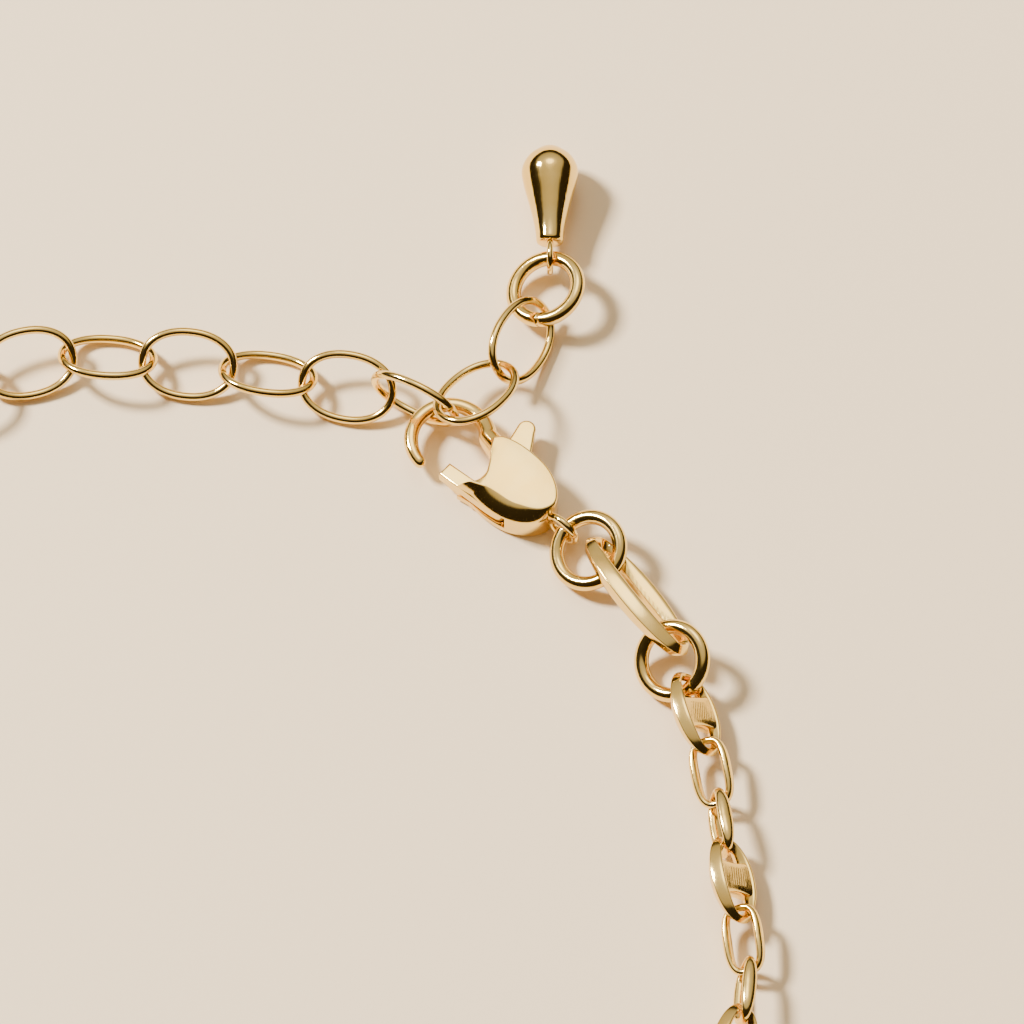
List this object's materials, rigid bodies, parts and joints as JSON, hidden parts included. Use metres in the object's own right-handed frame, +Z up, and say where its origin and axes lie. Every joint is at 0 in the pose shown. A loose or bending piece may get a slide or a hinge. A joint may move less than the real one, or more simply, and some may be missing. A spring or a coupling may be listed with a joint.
{
  "type": "link bracelet",
  "caption": "Fine gold link bracelet lying fastened: mariner and oval chain links, lobster clasp, oval-link extender and a teardrop end drop.",
  "frame": {"origin": "middle of the bounding box at the surface that the bracelet lies on", "axes": "+Z up from that surface, +Y along the longest extent towards the end drop, +X to the clasp's side"},
  "size_m": [0.0566, 0.0718, 0.004],
  "materials": {
    "gold_clasp": "polished gold",
    "gold_connector": "polished gold",
    "gold_drop": "polished gold",
    "gold_lever": "polished gold",
    "gold_mariner": "polished gold",
    "gold_oval": "polished gold",
    "gold_pin": "polished gold",
    "gold_ring": "polished gold",
    "gold_small": "polished gold"
  },
  "bodies": {
    "bracelet": {"clasp_body": "gold_clasp", "clasp_pin": "gold_pin", "connector": "gold_connector", "drop_ring": "gold_ring", "extender_link_01": "gold_oval", "extender_link_02": "gold_oval", "extender_link_03": "gold_oval", "extender_link_04": "gold_oval", "extender_link_05": "gold_oval", "extender_link_06": "gold_oval", "extender_link_07": "gold_oval", "extender_link_08": "gold_oval", "extender_link_09": "gold_oval", "extender_link_10": "gold_oval", "extender_link_11": "gold_oval", "far_connector": "gold_connector", "far_jump_ring_01": "gold_ring", "far_jump_ring_02": "gold_ring", "jump_ring_1": "gold_ring", "jump_ring_2": "gold_ring", "mariner_link_01": "gold_mariner", "mariner_link_02": "gold_mariner", "mariner_link_03": "gold_mariner", "mariner_link_04": "gold_mariner", "mariner_link_05": "gold_mariner", "mariner_link_06": "gold_mariner", "mariner_link_07": "gold_mariner", "mariner_link_08": "gold_mariner", "mariner_link_09": "gold_mariner", "mariner_link_10": "gold_mariner", "mariner_link_11": "gold_mariner", "mariner_link_12": "gold_mariner", "small_link_01": "gold_small", "small_link_02": "gold_small", "small_link_03": "gold_small", "small_link_04": "gold_small", "small_link_05": "gold_small", "small_link_06": "gold_small", "small_link_07": "gold_small", "small_link_08": "gold_small", "small_link_09": "gold_small", "small_link_10": "gold_small", "small_link_11": "gold_small", "small_link_12": "gold_small", "small_link_13": "gold_small", "small_link_14": "gold_small", "small_link_15": "gold_small", "small_link_16": "gold_small", "small_link_17": "gold_small", "small_link_18": "gold_small", "small_link_19": "gold_small", "small_link_20": "gold_small", "small_link_21": "gold_small", "small_link_22": "gold_small", "teardrop": "gold_drop"},
    "lever": {"clasp_lever": "gold_lever"}
  },
  "joints": [
    {"name": "clasp_lever_hinge", "type": "hinge", "parent": "bracelet", "child": "lever", "pos_m": [0.01494, 0.01588, 0.00115], "axis": [0, 0, -1], "range_deg": [0, 22], "stiffness_Nm_per_rad": 0.002, "springref_deg": -11.46}
  ]
}
